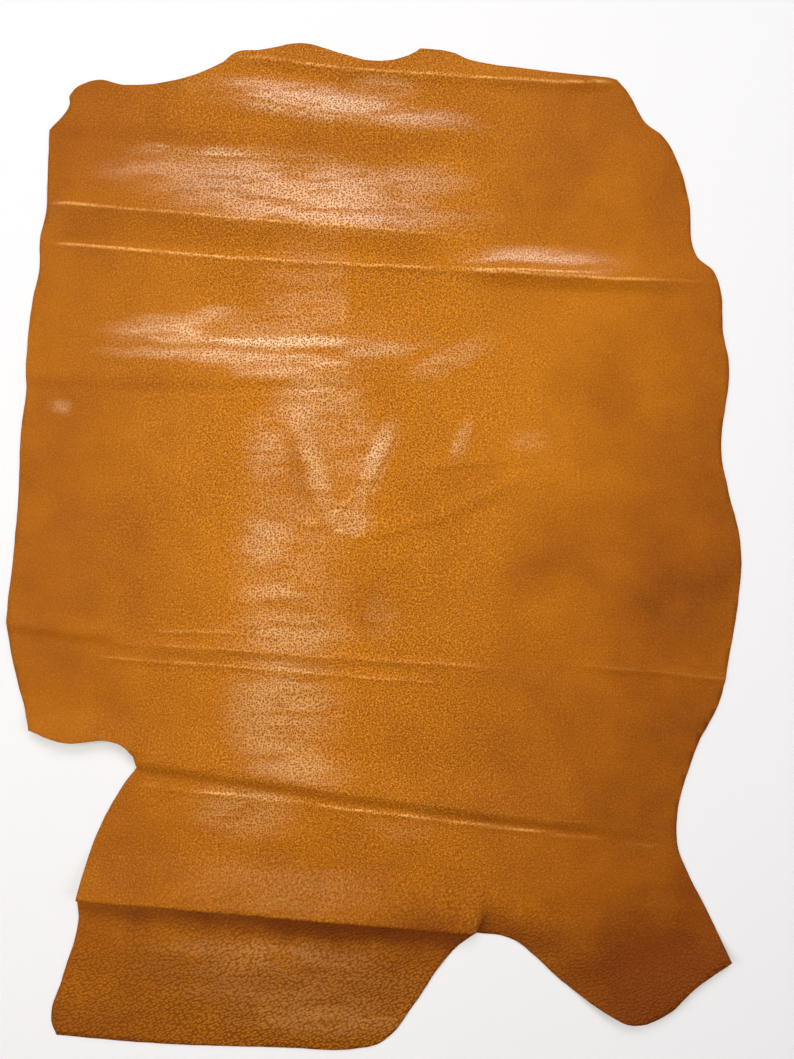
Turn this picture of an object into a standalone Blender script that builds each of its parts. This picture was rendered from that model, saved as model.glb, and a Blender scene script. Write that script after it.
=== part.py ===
"""A tanned hide, one sheet of leather laid out flat, grain side up.

The hide rests on the plane z = 0 with its neck towards +Y, and its origin is under the
middle of its outline. The cut edge is a closed curve. Its flat face is cut into strips along
the creases, its points are raised into the folds, and it is thickened upwards last.
The tables hold millimetres, and everything else is in metres.
"""

import math
from collections import namedtuple

import bmesh
import bpy
from mathutils import Vector

MM = 0.001

# ---- driving dimensions -------------------------------------------------------------

THICKNESS = 1.4 * MM
CREASE_SLOPE = math.radians(-4.8)  # the creases run down to the right by this angle
SLOPE_RANGE = math.radians(9)  # folds within this of the slope follow the strips
STRIP_WIDTH = 26 * MM  # widest strip between two cuts along the creases
LEAST_STRIP = 2.4 * MM
COLUMN_WIDTH = 34 * MM
SNAP = 0.3 * MM  # a cut passes through a point that is this near to it
EDGE_STEPS = 3  # straight pieces between two rows of the edge table

LEATHER_COLOUR = (0.48, 0.19, 0.03, 1.0)
LEATHER_ROUGHNESS = 0.45

# ---- the cut edge -------------------------------------------------------------------
# One row for each turn of the edge, clockwise from the left shoulder and measured from the
# middle of the hide. The edge curves through a row, or has a corner at it.

EdgeRow = namedtuple("EdgeRow", "place x y corner")
EDGE = [EdgeRow(*row) for row in (
    ("left shoulder", -367, 339, False),
    ("left shoulder hollow", -360, 368, False),
    ("left neck side", -359, 399, False),
    ("left neck corner", -357, 457, True),
    ("left neck slope", -335, 485, False),
    ("left neck nick", -334, 496, False),
    ("left neck top", -307, 512, False),
    ("neck dip start", -274, 507, False),
    ("neck dip", -236, 509, False),
    ("neck rise", -171, 529, False),
    ("neck left crest", -150, 543, False),
    ("neck left top", -124, 544, False),
    ("neck middle top", -79, 552, False),
    ("neck saddle side", -35, 540, False),
    ("neck saddle", -1, 532, False),
    ("neck saddle end", 36, 538, False),
    ("neck tooth", 51, 547, True),
    ("neck right top", 83, 543, False),
    ("neck right slope", 107, 533, False),
    ("neck right side", 169, 523, False),
    ("right neck corner", 266, 512, True),
    ("right neck edge", 278, 499, False),
    ("right neck hollow", 298, 465, False),
    ("right cheek", 317, 450, False),
    ("right cheek side", 332, 424, False),
    ("right foreleg", 345, 379, False),
    ("right armpit", 353, 320, False),
    ("right armpit step", 374, 299, False),
    ("right chest", 384, 227, False),
    ("right chest bump", 389, 203, False),
    ("right belly hollow", 381, 104, False),
    ("right belly", 389, 60, False),
    ("right belly bulge", 402, 2, False),
    ("right belly end", 400, -54, False),
    ("right flank", 389, -123, False),
    ("right flank bend", 379, -169, False),
    ("right thigh", 351, -227, False),
    ("right thigh hollow", 332, -322, False),
    ("right thigh side", 345, -360, False),
    ("right shank side", 366, -401, False),
    ("right shank corner", 390, -454, True),
    ("right shank slope", 349, -482, False),
    ("right shank end", 318, -509, False),
    ("right shank tip", 284, -521, False),
    ("right shank inside", 256, -511, False),
    ("tail bay right", 206, -477, False),
    ("tail bay rise", 180, -453, False),
    ("tail bay top", 149, -430, False),
    ("tail bay end", 112, -424, True),
    ("left shank right", 92, -438, False),
    ("left shank bend", 72, -460, False),
    ("left shank slope", 43, -503, False),
    ("left shank heel", 9, -543, False),
    ("left shank end", -19, -551, False),
    ("left shank bottom", -101, -550, False),
    ("left shank edge", -244, -545, False),
    ("left shank corner", -349, -536, True),
    ("left shank toe", -355, -518, False),
    ("left shank side", -343, -474, False),
    ("left shank hollow", -325, -410, False),
    ("left crease end", -326, -388, False),
    ("left thigh side", -311, -331, False),
    ("left thigh slope", -278, -265, False),
    ("left flank corner", -260, -241, True),
    ("left flank hollow", -266, -224, False),
    ("left flank lip", -283, -213, False),
    ("left belly lip", -338, -213, False),
    ("left belly corner", -376, -200, True),
    ("left belly end", -392, -147, False),
    ("left belly bulge", -403, -81, False),
    ("left belly side", -397, -15, False),
    ("left belly", -391, 54, False),
    ("left chest low", -388, 125, False),
    ("left chest nick", -382, 174, False),
    ("left chest", -382, 206, False),
    ("left foreleg", -375, 271, False),
    ("left armpit", -368, 304, False),
)]

# ---- the folds ----------------------------------------------------------------------
# A fold's crest is a line between two places, bowed to its left by bow at its middle. It
# rises to height, over the width above on the left of the line and below on its right. Lean
# moves the crest over to its right, and a fade is the length over which an end runs out.
# Cuts is the number of cuts through each flank. A curl is a fold whose crest lies past the
# edge, so that the edge is lifted.

FoldRow = namedtuple(
    "FoldRow",
    "name start_x start_y end_x end_y bow height above below lean fade_in fade_out cuts",
)
FOLDS = [FoldRow(*row) for row in (
    ("neck ridge", -168, 541, 272, 509, -8, 5, 26, 22, 0, 60, 20, 1),
    ("neck swell", -208, 518, 144, 460, -14, 7, 34, 32, 0, 130, 150, 2),
    ("shoulder swell", -291, 436, 116, 416, 0, 3, 22, 26, 0, 90, 90, 1),
    ("shoulder ridge", -360, 378, 160, 335, 0, 12, 62, 18, 3, 30, 190, 3),
    ("withers ridge", -350, 335, 397, 294, -10, 8, 20, 40, 1, 30, 260, 2),
    ("chest swell left", -335, 233, -159, 259, 0, 3, 18, 14, 0, 60, 50, 1),
    ("chest swell", -280, 222, 144, 235, -20, 5, 18, 26, 0, 90, 110, 1),
    ("chest crease", -385, 166, -49, 172, 0, 4, 12, 48, 0, 20, 120, 1),
    ("back wrinkle left", -94, 145, -47, 31, 0, 4, 12, 14, 0, 40, 20, 0),
    ("back wrinkle right", 26, 145, -49, 31, 0, 4, 14, 12, 0, 40, 20, 0),
    ("back wrinkle foot", -110, 34, 0, 13, 0, 4, 20, 10, 0, 30, 30, 0),
    ("flank wrinkle low", 12, 13, 185, 88, -8, 3, 26, 12, 0, 30, 60, 0),
    ("flank wrinkle high", 45, 92, 204, 101, -8, 3, 14, 14, 0, 40, 60, 0),
    ("loin ridge upper", -330, -101, 110, -134, 0, 4, 10, 7, 0, 60, 90, 1),
    ("loin ridge lower", -330, -117, 90, -149, 0, 4, 7, 10, 0, 60, 80, 1),
    ("loin crease", 80, -130, 392, -147, 6, 2, 12, 14, 0, 80, 0, 1),
    ("rump crest", -266, -237, 347, -316, 2, 5, 44, 11, 0, 0, 240, 2),
    ("rump step", -270, -262, 347, -334, 0, 4, 11, 44, 0, 0, 160, 2),
    ("tail pleat", -345, -368, 122, -404, 0, 13, 34, 14, 20, 0, 80, 5),
    ("left shank swell", -310, -440, 61, -462, 0, 5, 26, 44, 0, 50, 60, 1),
    ("left belly curl", -415, -207, -244, -224, 0, 6, 46, 8, 0, 30, 30, 1),
    ("right shank curl", 215, -552, 432, -462, 0, 9, 66, 8, 0, 30, 30, 1),
)]


class Fold:
    """One row of the table in metres, with its crest's direction and its left-hand side."""

    def __init__(self, row):
        self.start = Vector((row.start_x, row.start_y)) * MM
        run = Vector((row.end_x, row.end_y)) * MM - self.start
        self.length = run.length
        self.along = run.normalized()
        self.left = Vector((-self.along.y, self.along.x))
        self.bow, self.height, self.lean = row.bow * MM, row.height * MM, row.lean * MM
        self.above, self.below = row.above * MM, row.below * MM
        self.fade_in, self.fade_out = row.fade_in * MM, row.fade_out * MM
        self.cuts = row.cuts

    def place(self, point):
        """The distances of a point along the crest and to its left."""
        offset = point - self.start
        run = offset.dot(self.along)
        share = min(max(run / self.length, 0), 1)
        return run, offset.dot(self.left) - 4 * self.bow * share * (1 - share)

    def strength(self, point):
        """1 at the crest and 0 from its feet and ends outwards, with smooth flanks."""
        run, side = self.place(point)
        reach = self.above if side > 0 else self.below
        if abs(side) >= reach:
            return 0.0
        flank = 0.5 + 0.5 * math.cos(math.pi * side / reach)
        return flank * ramp(run, self.fade_in) * ramp(self.length - run, self.fade_out)

    def follows_strips(self):
        return abs(math.atan2(self.along.y, self.along.x) - CREASE_SLOPE) < SLOPE_RANGE


def ramp(distance, width):
    """0 up to an end of the crest and 1 from the fade's width inwards."""
    if width == 0:
        return 1.0
    share = min(max(distance / width, 0), 1)
    return share * share * (3 - 2 * share)


def start_scene(name):
    """Empties the scene, and gives it one collection for the object."""
    for old in list(bpy.data.objects):
        bpy.data.objects.remove(old, do_unlink=True)
    collection = bpy.data.collections.new(name)
    bpy.context.scene.collection.children.link(collection)
    return collection


def leather():
    material = bpy.data.materials.new("leather")
    material.use_nodes = True
    shader = material.node_tree.nodes["Principled BSDF"]
    shader.inputs["Base Color"].default_value = LEATHER_COLOUR
    shader.inputs["Roughness"].default_value = LEATHER_ROUGHNESS
    shader.inputs["Metallic"].default_value = 0.0
    return material


def edge_curve():
    """The cut edge as a closed curve, with straight handles at its corners."""
    curve = bpy.data.curves.new("cut edge", "CURVE")
    curve.dimensions = "2D"
    curve.fill_mode = "NONE"
    curve.resolution_u = EDGE_STEPS
    spline = curve.splines.new("BEZIER")
    spline.bezier_points.add(len(EDGE) - 1)
    spline.use_cyclic_u = True
    for point, row in zip(spline.bezier_points, EDGE):
        point.co = (row.x * MM, row.y * MM, 0)
        handle = "VECTOR" if row.corner else "AUTO"
        point.handle_left_type = point.handle_right_type = handle
    return curve


def flat_face(collection):
    """A bmesh of one flat face inside the cut edge, facing up."""
    outline = bpy.data.objects.new("cut edge", edge_curve())
    collection.objects.link(outline)
    graph = bpy.context.evaluated_depsgraph_get()
    loop = bpy.data.meshes.new_from_object(outline.evaluated_get(graph))
    bpy.data.objects.remove(outline, do_unlink=True)
    sheet = bmesh.new()
    sheet.from_mesh(loop)
    bpy.data.meshes.remove(loop)
    bmesh.ops.contextual_create(sheet, geom=sheet.edges[:])
    sheet.normal_update()
    if sheet.faces[:][0].normal.z < 0:
        bmesh.ops.reverse_faces(sheet, faces=sheet.faces[:])
    return sheet


def cut(sheet, faces, place, across):
    """Cuts the faces along the line through a place, square to the direction across."""
    edges = {edge for face in faces for edge in face.edges}
    points = {point for face in faces for point in face.verts}
    bmesh.ops.bisect_plane(
        sheet,
        geom=[*faces, *edges, *points],
        dist=SNAP,
        plane_co=(*place, 0),
        plane_no=(*across, 0),
    )


def spread(start, end, widest):
    """Evenly spaced values between start and end, no further apart than widest."""
    count = math.ceil((end - start) / widest)
    return [start + (end - start) * step / count for step in range(1, count)]


def fold_offsets(fold):
    """The distances from the crest at which a fold is cut, from foot to foot."""
    steps = fold.cuts + 1
    below = [-fold.below * step / steps for step in range(steps, 0, -1)]
    return below + [fold.above * step / steps for step in range(steps + 1)]


def strip_cuts(folds, up, lowest, highest):
    """The heights of the cuts along the creases, each at the middle of its fold."""
    wanted = []
    for fold in folds:
        middle = fold.start + fold.along * fold.length / 2 + fold.left * fold.bow
        wanted += [middle.dot(up) + offset for offset in fold_offsets(fold)]
    cuts = [lowest]
    for height in sorted(wanted):
        if height - cuts[-1] >= LEAST_STRIP and height < highest:
            cuts += spread(cuts[-1], height, STRIP_WIDTH)
            cuts.append(height)
    return cuts[1:] + spread(cuts[-1], highest, STRIP_WIDTH)


def cut_sheet(sheet, folds):
    """Cuts the flat face into strips, columns and the flanks of the slanting wrinkles."""
    up = Vector((-math.sin(CREASE_SLOPE), math.cos(CREASE_SLOPE)))
    heights = [point.co.xy.dot(up) for point in sheet.verts]
    followed = [fold for fold in folds if fold.follows_strips()]
    for height in strip_cuts(followed, up, min(heights), max(heights)):
        cut(sheet, sheet.faces[:], up * height, up)
    across = [point.co.x for point in sheet.verts]
    for x in spread(min(across), max(across), COLUMN_WIDTH):
        cut(sheet, sheet.faces[:], Vector((x, 0)), Vector((1, 0)))
    for fold in folds:
        if fold in followed:
            continue
        for offset in fold_offsets(fold):
            near = [face for face in sheet.faces if touches(fold, face)]
            cut(sheet, near, fold.start + fold.left * offset, fold.left)


def touches(fold, face):
    """Whether the middle of a face lies within a fold's length and width."""
    run, side = fold.place(face.calc_center_median().xy)
    return 0 < run < fold.length and -fold.below < side < fold.above


def raise_folds(sheet, folds):
    """Lifts each point by the folds that it lies in, and leans it over with them."""
    for point in sheet.verts:
        place = point.co.xy.copy()
        for fold in folds:
            strength = fold.strength(place)
            point.co.z += fold.height * strength
            point.co.xy -= fold.left * fold.lean * strength


def build_hide(collection):
    """The hide, from its flat face to the finished sheet."""
    folds = [Fold(row) for row in FOLDS]
    sheet = flat_face(collection)
    cut_sheet(sheet, folds)
    raise_folds(sheet, folds)
    mesh = bpy.data.meshes.new("hide")
    sheet.to_mesh(mesh)
    sheet.free()
    mesh.shade_smooth()
    mesh.materials.append(leather())
    hide = bpy.data.objects.new("hide", mesh)
    collection.objects.link(hide)
    solidify = hide.modifiers.new("leather thickness", "SOLIDIFY")
    solidify.thickness = THICKNESS
    solidify.offset = 1.0
    solidify.use_even_offset = True
    return hide


build_hide(start_scene("leather hide"))
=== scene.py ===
"""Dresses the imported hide: a fine sheet laid in its folds, with grain, flesh side and cut edge.

It is laid out as a Blender add-on and is run as a script. All lengths are in metres, except
in the tables of the edge, the folds and the places, which hold millimetres.
"""

import math
from collections import namedtuple

import bmesh
import bpy
from bpy.props import FloatProperty, FloatVectorProperty, IntProperty, PointerProperty
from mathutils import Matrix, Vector, noise


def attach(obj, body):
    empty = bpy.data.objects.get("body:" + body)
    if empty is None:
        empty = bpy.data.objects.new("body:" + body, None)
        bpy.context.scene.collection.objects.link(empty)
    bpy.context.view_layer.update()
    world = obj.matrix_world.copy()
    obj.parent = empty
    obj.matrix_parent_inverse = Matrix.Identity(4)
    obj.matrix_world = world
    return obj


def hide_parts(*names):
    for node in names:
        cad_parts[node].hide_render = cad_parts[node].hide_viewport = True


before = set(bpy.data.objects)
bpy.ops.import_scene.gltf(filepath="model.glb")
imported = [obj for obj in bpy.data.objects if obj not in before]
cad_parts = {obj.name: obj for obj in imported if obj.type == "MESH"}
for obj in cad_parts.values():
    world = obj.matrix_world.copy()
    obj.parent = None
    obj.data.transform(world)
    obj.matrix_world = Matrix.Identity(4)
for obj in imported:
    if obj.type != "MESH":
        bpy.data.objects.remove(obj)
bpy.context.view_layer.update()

bl_info = {
    "name": "Leather hide",
    "version": (1, 0, 0),
    "blender": (4, 5, 0),
    "location": "3D View > Sidebar > Hide",
    "description": "Lays out a tanned hide with its folds, grain and cut edge",
    "category": "Object",
}

MM = 0.001
NODE = "hide"
BODY = "root"
FLAT_PLACE = "flat_place"  # the attribute that holds each point's place on the flat sheet
CREST = "crest"  # the attribute that is 1 on a sharp crest
POLISHED = "polished"  # the attribute that is 1 where the finish is polished
DYE_AND_SHADE = "dye_and_shade"  # the attribute that is 1 where dye and painted shade darken the colour most

# ---- the cut edge -------------------------------------------------------------------
# One row for each turn of the edge, clockwise from the left shoulder and measured from the
# middle of the hide. The edge curves through a row, or has a corner at it.

EdgeRow = namedtuple("EdgeRow", "place x y corner", defaults=(False,))
EDGE = [EdgeRow(*row) for row in (
    ("left shoulder", -367, 339),
    ("left shoulder hollow", -360, 368),
    ("left neck side", -359, 399),
    ("left neck corner", -357, 457, True),
    ("left neck slope", -335, 485),
    ("left neck nick", -334, 496),
    ("left neck top", -307, 512),
    ("neck dip start", -274, 507),
    ("neck dip", -236, 509),
    ("neck rise", -171, 529),
    ("neck left crest", -150, 543),
    ("neck left top", -124, 544),
    ("neck middle top", -79, 552),
    ("neck saddle side", -35, 540),
    ("neck saddle", -1, 532),
    ("neck saddle end", 36, 538),
    ("neck tooth", 51, 547, True),
    ("neck right top", 83, 543),
    ("neck right slope", 107, 533),
    ("neck right side", 169, 523),
    ("right neck corner", 266, 512, True),
    ("right neck edge", 278, 499),
    ("right neck hollow", 298, 465),
    ("right cheek", 317, 450),
    ("right cheek side", 332, 424),
    ("right foreleg", 345, 379),
    ("right armpit", 353, 320),
    ("right armpit step", 374, 299),
    ("right chest", 384, 227),
    ("right chest bump", 389, 203),
    ("right belly hollow", 381, 104),
    ("right belly", 389, 60),
    ("right belly bulge", 402, 2),
    ("right belly end", 400, -54),
    ("right flank", 389, -123),
    ("right flank bend", 379, -169),
    ("right thigh", 351, -227),
    ("right thigh hollow", 332, -322),
    ("right thigh side", 345, -360),
    ("right shank side", 366, -401),
    ("right shank corner", 390, -454, True),
    ("right shank slope", 349, -482),
    ("right shank end", 318, -509),
    ("right shank tip", 284, -521),
    ("right shank inside", 256, -511),
    ("tail bay right", 206, -477),
    ("tail bay rise", 180, -453),
    ("tail bay top", 149, -430),
    ("tail bay end", 112, -424, True),
    ("left shank right", 92, -438),
    ("left shank bend", 72, -460),
    ("left shank slope", 43, -503),
    ("left shank heel", 9, -543),
    ("left shank end", -19, -551),
    ("left shank bottom", -101, -550),
    ("left shank edge", -244, -545),
    ("left shank corner", -349, -536, True),
    ("left shank toe", -355, -518),
    ("left shank side", -343, -474),
    ("left shank hollow", -325, -410),
    ("left crease end", -326, -388),
    ("left thigh side", -311, -331),
    ("left thigh slope", -278, -265),
    ("left flank corner", -260, -241, True),
    ("left flank hollow", -266, -224),
    ("left flank lip", -283, -213),
    ("left belly lip", -338, -213),
    ("left belly corner", -376, -200, True),
    ("left belly end", -392, -147),
    ("left belly bulge", -403, -81),
    ("left belly side", -397, -15),
    ("left belly", -391, 54),
    ("left chest low", -388, 125),
    ("left chest nick", -382, 174),
    ("left chest", -382, 206),
    ("left foreleg", -375, 271),
    ("left armpit", -368, 304),
)]

# ---- the folds ----------------------------------------------------------------------
# A fold's crest is a line between two places, bowed to its left by bow at its middle. It
# rises to height, over the width above on the left of the line and below on its right. Lean
# moves the crest over to its right, and a fade is the length over which an end runs out.
# Keen is 0 for a round crest and 1 for a sharp one.

FoldRow = namedtuple(
    "FoldRow",
    "name start_x start_y end_x end_y bow height above below lean fade_in fade_out keen",
)
FOLDS = [FoldRow(*row) for row in (
    ("neck ridge", -168, 541, 272, 509, -8, 4, 30, 12, 0, 60, 20, 0.8),
    ("neck swell", -208, 513, 160, 452, -15, 4.4, 38, 22, 0, 90, 130, 0.5),
    ("shoulder crease", -307, 439, 28, 422, 2, 1.6, 16, 6, 0, 60, 90, 0.5),
    ("shoulder ridge", -360, 378, 160, 334, 0, 12.5, 74, 46, 3, 30, 190, 1),
    ("shoulder wrinkle", 200, 355, 263, 381, 0, 1, 9, 8, 0, 20, 20, 0.3),
    ("withers line", -361, 334, 259, 298, -5, 1.8, 6, 8, 0, 30, 60, 1),
    ("withers ridge", -346, 329, 397, 294, -6, 3, 14, 40, 1, 30, 260, 0),
    ("withers swell", 70, 305, 402, 290, -3, 7, 36, 16, 0, 80, 150, 0.8),
    ("chest swell left", -329, 227, -161, 251, 0, 0.6, 20, 16, 0, 50, 30, 0),
    ("chest swell", -216, 228, 55, 216, -3, 0.5, 16, 9, 0, 25, 80, 0),
    ("chest swell low", -282, 210, 40, 202, -8, 0.4, 14, 16, 0, 40, 60, 0),
    ("chest swell right", 39, 188, 147, 232, 0, 1.0, 14, 12, 0, 20, 40, 0),
    ("chest crease", -390, 186, -27, 183, -2, 1.6, 30, 12, 0, 0, 45, 0.3),
    ("chest crease foot", -208, 161, -32, 172, 0, 0.7, 5, 12, 0, 50, 20, 0.2),
    ("chest crease end", -27, 162, 21, 178, 0, 1.2, 9, 6, 0, 12, 16, 0.2),
    ("back wrinkle left", -92, 146, -48, 32, -4, 1.5, 26, 10, 0, 25, 12, 0.5),
    ("back wrinkle right", 27, 137, -16, 53, 2, 1.6, 7, 24, 0, 20, 14, 0.5),
    ("back wrinkle fork", -16, 67, -50, 27, 0, 1.5, 6, 7, 0, 8, 6, 0.55),
    ("back wrinkle prop", -12, 62, -12, 9, 1, 1.4, 5, 8, 0, 10, 6, 0.55),
    ("back wrinkle foot", -102, 32, -9, 9, 2, 1.8, 9, 6, 0, 16, 8, 0.55),
    ("flank wrinkle low", -9, 10, 191, 91, -9, 3, 16, 8, 0, 14, 70, 0.35),
    ("flank wrinkle high", 45, 87, 210, 100, -2, 1.3, 13, 6, 0, 25, 60, 0.35),
    ("flank wrinkle short", 117, 142, 79, 90, 0, 1.2, 6, 12, 0, 14, 14, 0.3),
    ("flank wrinkle low end", -9, -34, 42, -12, 0, 1.3, 7, 5, 0, 10, 16, 0.35),
    ("spine swell high", -133, 106, -93, 101, 0, 0.8, 26, 30, 0, 22, 22, 0),
    ("spine swell mid", -137, 6, -89, 5, 0, 1, 24, 22, 0, 20, 20, 0),
    ("spine swell low", -139, -56, -69, -54, 0, 1, 14, 8, 0, 18, 14, 0.2),
    ("spine tuck", -58, 16, -52, -41, 0, 1.4, 5, 8, 0, 12, 12, 0.45),
    ("spine tuck low", -62, -41, -58, -65, 0, 1, 4, 4, 0, 6, 8, 0.45),
    ("loin ridge faint", -249, -91, -137, -96, 0, 0.9, 5, 5, 0, 30, 30, 0.55),
    ("loin band", -408, -82, -247, -102, 0, 3, 18, 14, 0, 0, 70, 0.2),
    ("loin ridge upper", -304, -103, 166, -135, 0, 1.4, 7, 7, 0, 40, 90, 0.52),
    ("loin ridge lower", -311, -120, 83, -150, 0, 1.5, 7, 7, 0, 40, 40, 0.52),
    ("loin crease", 191, -128, 400, -148, 3, 1.3, 7, 9, 0, 80, 0, 0.45),
    ("rump crest", -267, -232, 351, -318, -3, 6, 44, 15, 0, 0, 250, 0.45),
    ("rump line", -258, -261, 358, -335, 1, 1.2, 5, 9, 0, 20, 300, 0.6),
    ("tail pleat", -345, -360, 124, -400, 0, 13, 34, 14, 20, 0, 16, 0.35),
    ("left shank swell", -310, -439, 61, -461, 0, 5, 26, 44, 0, 50, 60, 0.2),
    ("left shank crease", -186, -516, -124, -505, 0, 0.8, 8, 7, 0, 16, 12, 0.2),
    ("left shank crease end", -128, -511, -73, -500, 0, 0.8, 8, 7, 0, 12, 16, 0.2),
    ("left belly curl", -415, -207, -244, -224, 0, 6, 46, 8, 0, 30, 30, 0),
    ("right shank curl", 215, -552, 432, -462, 0, 9, 66, 8, 0, 30, 30, 0),
    ("spine", -51, 535, -24, 84, 0, 1.4, 46, 60, 0, 60, 120, 1),
)]

# ---- the places on the finish -------------------------------------------------------
# Each place is an oval with a soft edge, turned by some degrees. Where it has a stop, it ends
# there on its right. Handling has polished the places of the first table. Those of the second
# are darker: some took more dye, and some hold painted shade in the folds' creases and troughs.

NO_STOP = 400  # at the right edge of the hide
PlaceRow = namedtuple(
    "PlaceRow", "name x y half_width half_height turn amount stop", defaults=(NO_STOP,)
)
POLISH_PLACES = [PlaceRow(*row) for row in (
    ("neck", -72, 488, 140, 20, -8, 0.75),
    ("neck right", 45, 468, 80, 13, -4, 0.65),
    ("neck middle", 12, 505, 40, 14, -5, 0.4),
    ("shoulder top", -203, 431, 82, 9, -2, 0.8),
    ("shoulder", -93, 392, 165, 40, -4, 0.7),
    ("shoulder left", -230, 412, 77, 18, -2, 0.5),
    ("shoulder foot", -49, 366, 143, 22, -5, 0.75),
    ("shoulder end", 56, 364, 88, 15, -4, 0.7),
    ("shoulder upper end", 60, 403, 55, 20, -4, 0.8),
    ("withers", 180, 312, 88, 19, -3, 0.7),
    ("chest", -66, 270, 60, 84, 0, 0.2, -28),
    ("chest streaks", -115, 226, 175, 38, -2, 0.25),
    ("chest band", -110, 225, 175, 9, -2, 1),
    ("chest band low", -150, 207, 150, 10, -3, 1),
    ("chest band hook", -203, 235, 30, 10, -30, 0.8),
    ("chest band end", -5, 216, 56, 11, 0, 1),
    ("chest low", -98, 196, 70, 13, 0, 0.6),
    ("chest streak left", -227, 247, 77, 11, 8, 1),
    ("chest streak right", 89, 208, 55, 15, 24, 0.6),
    ("chest spot", -345, 155, 13, 8, -40, 0.8),
    ("back", -62, 156, 55, 57, 0, 0.6),
    ("spine high", -117, 104, 31, 44, 0, 0.5),
    ("left wrinkle", -65, 89, 16, 59, 18, 1),
    ("right wrinkle", 1, 95, 17, 55, -22, 1),
    ("between wrinkles", -29, 117, 33, 57, 0, 0.5),
    ("wrinkle fork", -31, 30, 31, 22, 0, 0.9),
    ("spine mid", -117, 6, 37, 35, 0, 0.8),
    ("spine low", -106, -51, 46, 15, 0, 0.8),
    ("spine column", -93, -26, 66, 165, 0, 0.3),
    ("loin top", -93, -94, 73, 26, 0, 0.8),
    ("loin", -98, -180, 66, 68, 0, 0.9),
    ("rump top", -82, -244, 62, 26, -6, 0.6),
    ("flank mark", 96, 115, 10, 29, -26, 0.7),
    ("flank spot", 169, 116, 24, 16, 0, 0.4),
    ("loin right", 8, -79, 22, 29, 0, 0.25),
    ("rump", -142, -292, 62, 33, -6, 0.9),
    ("rump end", 28, -310, 44, 13, -6, 0.45),
    ("rump low", -93, -362, 120, 26, -4, 0.15),
    ("tail", -105, -472, 160, 36, -4, 0.55),
    ("tail foot", -60, -518, 120, 20, -3, 0.55),
)]
DYE_AND_SHADE_PLACES = [PlaceRow(*row) for row in (
    ("dull band", -104, 445, 264, 14, -3, 0.2),
    # painted shade in the trough below the shoulder ridge and along the chest crease
    ("trough", -80, 340, 120, 10, -5, 0.08),
    ("chest crease", -280, 179, 165, 12, -1, 0.12),
    ("chest crease end", -82, 181, 99, 8, -1, 0.2),
    ("left flank", -324, -40, 121, 220, 0, 0.22),
    ("wrinkle right", 72, 46, 66, 46, 20, 0.25),
    ("wrinkle left", -85, 84, 10, 51, 16, 0.3),
    ("spine dark", -9, -67, 29, 33, 0, 0.35),
    # painted shade along the loin and rump creases
    ("loin line", -159, -122, 286, 7, -3, 0.3),
    ("rump crease", -49, -274, 363, 14, -8, 0.15),
    # these three rows are the painted shadow below the tail pleat
    ("under pleat", -39, -414, 230, 28, -4, 1),
    ("under pleat right", 0, -440, 120, 34, -6, 0.35),
    ("under pleat left", -247, -402, 99, 15, -4, 0.4),
    ("bay", 83, -422, 143, 37, -8, 0.8),
    ("thigh", 290, -500, 170, 80, 0, 0.42),
    ("flank end", 358, -169, 44, 132, 0, 0.15),
    ("right shoulder", 270, 400, 100, 80, 0, 0.25),
    ("tail base", -20, -480, 180, 60, -4, 0.2),
    ("loin side", 150, -190, 120, 90, 0, 0.22),
    ("right side", 248, -15, 100, 90, 0, 0.22),
)]


# ---- sizes and colours --------------------------------------------------------------


def length(name, description, default):
    return FloatProperty(
        name=name, description=description, default=default, subtype="DISTANCE", unit="LENGTH"
    )


def share(name, description, default):
    return FloatProperty(
        name=name, description=description, default=default, min=0, max=1, subtype="FACTOR"
    )


def colour(name, description, default):
    return FloatVectorProperty(
        name=name, description=description, default=default, size=3, subtype="COLOR"
    )


class HideSizes(bpy.types.PropertyGroup):
    """Sizes of the sheet and of the mesh that it is made from."""

    thickness: length("Thickness", "Thickness of the leather", 1.4 * MM)
    fine_strip: length("Fine strip", "Strip width on the crest of a fold", 1.1 * MM)
    wide_strip: length("Wide strip", "Strip width away from the folds", 6 * MM)
    fine_column: length("Fine column", "Width of the columns on the spine's wrinkles", 3.2 * MM)
    wide_column: length("Wide column", "Width of the columns away from them", 8 * MM)
    swell: length("Swell", "Height of the slow unevenness of the sheet", 1.6 * MM)
    streak: length("Streak", "Height of the unevenness along the creases", 0.8 * MM)
    ripple: length("Ripple", "Height of the quick unevenness of the sheet", 0.35 * MM)
    wander: length("Wander", "How far a crest strays from its line", 5 * MM)
    edge_waver: length("Edge waver", "How far the knife wavered along the edge", 0.35 * MM)
    edge_steps: IntProperty(
        name="Edge steps", description="Pieces between two turns of the edge", default=14
    )


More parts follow.
